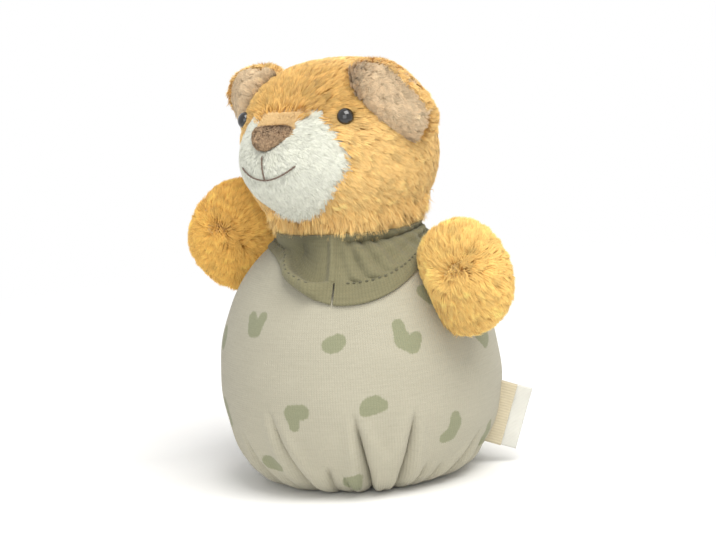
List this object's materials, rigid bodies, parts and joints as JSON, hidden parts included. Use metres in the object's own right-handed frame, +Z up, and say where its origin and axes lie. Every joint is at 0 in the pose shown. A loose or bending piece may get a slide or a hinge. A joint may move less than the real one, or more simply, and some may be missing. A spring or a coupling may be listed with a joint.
{
  "type": "soft rattle toy",
  "caption": "Soft plush lion-cub rattle with a round spotted jersey body gathered on a flat base, a draped neckerchief, raised mitt paws and a rattle capsule in its filling.",
  "frame": {"origin": "middle of the flat base, on the floor that the toy stands on", "axes": "+Z up, -Y towards where the toy faces, +X towards the toy's left"},
  "size_m": [0.1274, 0.092, 0.1381],
  "materials": {
    "jersey_beige": "matte cotton jersey printed with sparse sage spots",
    "jersey_sage": "matte cotton jersey, topstitched hem",
    "plush_yellow": "short brushed plush pile",
    "plush_white": "short brushed plush pile",
    "plush_tan": "short brushed plush pile",
    "plush_bridge": "very short velvety pile",
    "plush_nose": "very short velvety pile",
    "thread_brown": "embroidery thread",
    "eye_black": "polished",
    "label_beige": "woven ribbon",
    "label_white": "satin ribbon",
    "fibrefill": "loose polyester fibre",
    "washer_plastic": "moulded",
    "capsule_plastic": "moulded",
    "bead_plastic": "moulded"
  },
  "bodies": {
    "body": {"body_front_panel": "jersey_beige", "body_back_panel": "jersey_beige", "base_panel": "jersey_beige", "body_stuffing_lower": "fibrefill", "body_stuffing_upper": "fibrefill", "rattle_capsule_lower": "capsule_plastic", "rattle_capsule_upper": "capsule_plastic", "neckerchief": "jersey_sage"},
    "neck": {"neck_stuffing": "fibrefill"},
    "head": {"head_face_panel": "plush_yellow", "head_back_panel": "plush_yellow", "muzzle_panel": "plush_white", "nose_bridge": "plush_bridge", "nose": "plush_nose", "mouth_stitch": "thread_brown", "head_stuffing": "fibrefill", "eye_left": "eye_black", "eye_right": "eye_black", "eye_washer_left": "washer_plastic", "eye_washer_right": "washer_plastic"},
    "ear_left": {"ear_left_front": "plush_tan", "ear_left_back": "plush_yellow"},
    "ear_right": {"ear_right_front": "plush_tan", "ear_right_back": "plush_yellow"},
    "arm_left": {"arm_left": "plush_yellow"},
    "arm_right": {"arm_right": "plush_yellow"},
    "labels": {"woven_label": "label_beige", "care_label": "label_white"},
    "bead_1": {"rattle_bead_1": "bead_plastic"},
    "bead_2": {"rattle_bead_2": "bead_plastic"},
    "bead_3": {"rattle_bead_3": "bead_plastic"},
    "bead_4": {"rattle_bead_4": "bead_plastic"},
    "bead_5": {"rattle_bead_5": "bead_plastic"}
  },
  "joints": [
    {"name": "head_turn", "type": "hinge", "parent": "body", "child": "neck", "pos_m": [0, 0, 0.08], "axis": [0, 0, 1], "range_deg": [-11, 20], "stiffness_Nm_per_rad": 0.25},
    {"name": "head_nod", "type": "hinge", "parent": "neck", "child": "head", "pos_m": [0, 0, 0.08], "axis": [0.9936, -0.1132, 0], "range_deg": [-8, 8], "stiffness_Nm_per_rad": 0.25},
    {"name": "arm_left_swing", "type": "hinge", "parent": "body", "child": "arm_left", "pos_m": [0.03934, -0.00908, 0.06361], "axis": [-0.471, 0.1087, 0.8754], "range_deg": [-20, 20], "stiffness_Nm_per_rad": 0.03},
    {"name": "arm_right_swing", "type": "hinge", "parent": "body", "child": "arm_right", "pos_m": [-0.03463, -0.00181, 0.07198], "axis": [-0.643, -0.0337, -0.7651], "range_deg": [-12, 20], "stiffness_Nm_per_rad": 0.03},
    {"name": "ear_left_flop", "type": "hinge", "parent": "head", "child": "ear_left", "pos_m": [0.02609, -0.007, 0.12314], "axis": [-0.4741, 0.054, 0.8788], "range_deg": [-10, 10], "stiffness_Nm_per_rad": 0.004},
    {"name": "ear_right_flop", "type": "hinge", "parent": "head", "child": "ear_right", "pos_m": [-0.03063, -0.00054, 0.12065], "axis": [0.3962, -0.0451, 0.9171], "range_deg": [-10, 10], "stiffness_Nm_per_rad": 0.004},
    {"name": "label_flop", "type": "hinge", "parent": "body", "child": "labels", "pos_m": [0.03828, 0.02089, 0.0165], "axis": [0.1836, 0.0976, 0.9781], "range_deg": [-20, 20], "stiffness_Nm_per_rad": 0.0004},
    {"name": "bead_1_hop", "type": "slide", "parent": "body", "child": "bead_1", "axis": [0, 0, 1], "range_m": [0, 0.0174]},
    {"name": "bead_2_hop", "type": "slide", "parent": "body", "child": "bead_2", "axis": [0, 0, 1], "range_m": [0, 0.0174]},
    {"name": "bead_3_hop", "type": "slide", "parent": "body", "child": "bead_3", "axis": [0, 0, 1], "range_m": [0, 0.0174]},
    {"name": "bead_4_hop", "type": "slide", "parent": "body", "child": "bead_4", "axis": [0, 0, 1], "range_m": [0, 0.0174]},
    {"name": "bead_5_hop", "type": "slide", "parent": "body", "child": "bead_5", "axis": [0, 0, 1], "range_m": [0, 0.0204]}
  ]
}
